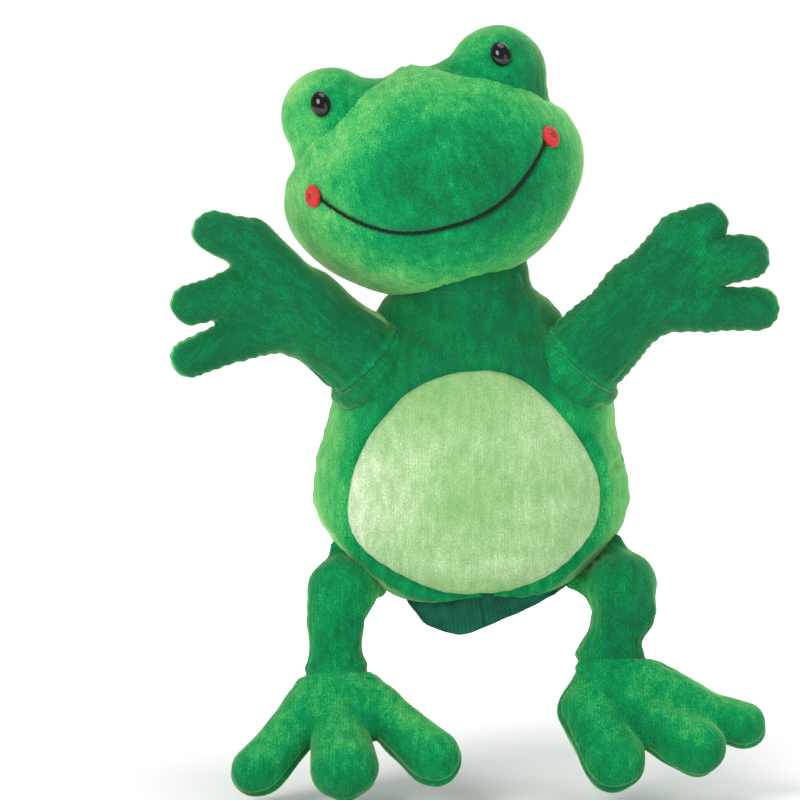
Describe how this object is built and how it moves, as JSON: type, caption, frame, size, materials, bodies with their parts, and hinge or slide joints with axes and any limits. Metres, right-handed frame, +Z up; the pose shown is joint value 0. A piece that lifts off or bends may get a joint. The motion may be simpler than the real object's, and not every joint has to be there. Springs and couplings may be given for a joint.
{
  "type": "hand puppet",
  "caption": "Frog glove puppet in green velour with a stuffed head worn on one finger, arms worn on fingers, a light belly panel and stuffed dangling legs.",
  "frame": {"origin": "centre of the round hand opening at the bottom of the lining cuff", "axes": "+Z up towards the head, the puppet faces -Y, the puppet's own left side is +X"},
  "size_m": [0.2412, 0.0993, 0.3032],
  "materials": {
    "green_velour": "short-pile velour with knit wales",
    "belly_velour": "light short-pile velour",
    "lining": "fine rib knit",
    "stuffing": "polyester fibre",
    "eye_gloss": "polished",
    "washer_plastic": "matte",
    "red_thread": "padded embroidery",
    "black_thread": "embroidery thread"
  },
  "bodies": {
    "glove": {"body_front": "green_velour", "body_back": "green_velour", "belly_patch": "belly_velour", "hand_lining_cuff": "lining", "hand_lining_front": "lining", "hand_lining_back": "lining"},
    "neck_ring": {"neck_band": "green_velour"},
    "neck_tube": {"neck_lining": "lining"},
    "head": {"head_front": "green_velour", "head_back": "green_velour", "head_stuffing": "stuffing", "head_finger_tube": "lining", "eye_mound_left": "green_velour", "eye_mound_right": "green_velour", "eye_left": "eye_gloss", "eye_right": "eye_gloss", "eye_washer_left": "washer_plastic", "eye_washer_right": "washer_plastic", "mouth_corner_left": "red_thread", "mouth_corner_right": "red_thread", "mouth_stitching": "black_thread"},
    "sleeve_left": {"sleeve_left": "green_velour"},
    "arm_left": {"arm_front_left": "green_velour", "arm_back_left": "green_velour", "hand_stuffing_left": "stuffing", "arm_finger_tube_left": "lining"},
    "thigh_left": {"thigh_skin_left": "green_velour", "thigh_stuffing_left": "stuffing"},
    "shin_left": {"shin_skin_left": "green_velour", "shin_stuffing_left": "stuffing"},
    "foot_left": {"foot_top_left": "green_velour", "foot_sole_left": "green_velour", "foot_stuffing_left": "stuffing"},
    "sleeve_right": {"sleeve_right": "green_velour"},
    "arm_right": {"arm_front_right": "green_velour", "arm_back_right": "green_velour", "hand_stuffing_right": "stuffing", "arm_finger_tube_right": "lining"},
    "thigh_right": {"thigh_skin_right": "green_velour", "thigh_stuffing_right": "stuffing"},
    "shin_right": {"shin_skin_right": "green_velour", "shin_stuffing_right": "stuffing"},
    "foot_right": {"foot_top_right": "green_velour", "foot_sole_right": "green_velour", "foot_stuffing_right": "stuffing"}
  },
  "joints": [
    {"name": "neck_tilt", "type": "hinge", "parent": "glove", "child": "neck_ring", "pos_m": [-0.003, 0, 0.121], "axis": [0, 1, 0], "range_deg": [-4, 28], "stiffness_Nm_per_rad": 0.12},
    {"name": "neck_nod", "type": "hinge", "parent": "neck_ring", "child": "neck_tube", "pos_m": [-0.003, 0, 0.121], "axis": [1, 0, 0], "range_deg": [-10, 12], "stiffness_Nm_per_rad": 0.12},
    {"name": "head_turn", "type": "hinge", "parent": "neck_tube", "child": "head", "pos_m": [-0.003, 0, 0.121], "axis": [-0.2419, 0, 0.9703], "range_deg": [-35, 35], "stiffness_Nm_per_rad": 0.06},
    {"name": "arm_raise_left", "type": "hinge", "parent": "glove", "child": "sleeve_left", "pos_m": [0.042, -0.012, 0.095], "axis": [0, 1, 0], "range_deg": [-16, 30], "stiffness_Nm_per_rad": 0.06},
    {"name": "arm_swing_left", "type": "hinge", "parent": "sleeve_left", "child": "arm_left", "pos_m": [0.042, -0.012, 0.095], "axis": [0, 0, -1], "range_deg": [-15, 24], "stiffness_Nm_per_rad": 0.06},
    {"name": "hip_left", "type": "hinge", "parent": "glove", "child": "thigh_left", "pos_m": [0.05, -0.013, 0.0125], "axis": [0.7413, 0.0741, 0.6671], "range_deg": [-30, 20], "stiffness_Nm_per_rad": 0.004},
    {"name": "knee_left", "type": "hinge", "parent": "thigh_left", "child": "shin_left", "pos_m": [0.06, -0.018, -0.004], "axis": [1, 0, 0], "range_deg": [-20, 30], "stiffness_Nm_per_rad": 0.006},
    {"name": "ankle_left", "type": "hinge", "parent": "shin_left", "child": "foot_left", "pos_m": [0.055, -0.019, -0.0215], "axis": [1, 0, 0], "range_deg": [-18, 25], "stiffness_Nm_per_rad": 0.006},
    {"name": "arm_raise_right", "type": "hinge", "parent": "glove", "child": "sleeve_right", "pos_m": [-0.042, -0.012, 0.095], "axis": [0, 1, 0], "range_deg": [-30, 6], "stiffness_Nm_per_rad": 0.06},
    {"name": "arm_swing_right", "type": "hinge", "parent": "sleeve_right", "child": "arm_right", "pos_m": [-0.042, -0.012, 0.095], "axis": [0, 0, 1], "range_deg": [-15, 24], "stiffness_Nm_per_rad": 0.06},
    {"name": "hip_right", "type": "hinge", "parent": "glove", "child": "thigh_right", "pos_m": [-0.05, -0.013, 0.0125], "axis": [0.7413, -0.0741, -0.6671], "range_deg": [-30, 20], "stiffness_Nm_per_rad": 0.004},
    {"name": "knee_right", "type": "hinge", "parent": "thigh_right", "child": "shin_right", "pos_m": [-0.055, -0.018, -0.005], "axis": [1, 0, 0], "range_deg": [-20, 30], "stiffness_Nm_per_rad": 0.006},
    {"name": "ankle_right", "type": "hinge", "parent": "shin_right", "child": "foot_right", "pos_m": [-0.053, -0.019, -0.027], "axis": [1, 0, 0], "range_deg": [-18, 25], "stiffness_Nm_per_rad": 0.006}
  ]
}
